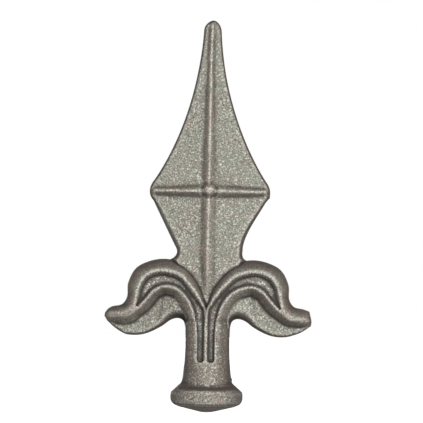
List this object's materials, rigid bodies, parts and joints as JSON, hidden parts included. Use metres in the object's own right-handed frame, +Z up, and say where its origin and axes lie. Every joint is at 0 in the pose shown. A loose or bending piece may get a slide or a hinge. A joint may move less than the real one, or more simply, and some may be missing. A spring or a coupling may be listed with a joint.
{
  "type": "forged fence spike",
  "caption": "Flat two-faced spear point for the top of a fence picket, with two curled scroll leaves, a grooved round stem and a flared collar.",
  "frame": {"origin": "centre of the small flat at the bottom of the base, on the axis of the stem", "axes": "+X across the face towards the right leaf, +Y through the thickness towards the back, +Z up the axis towards the point"},
  "size_m": [0.0741, 0.0258, 0.1399],
  "materials": {
    "raw_steel": "raw forged steel, fine grit-blasted grain on the flat fields, smoother warm grey on the raised edges"
  },
  "bodies": {
    "root": {"fence_spike": "raw_steel"}
  },
  "joints": []
}
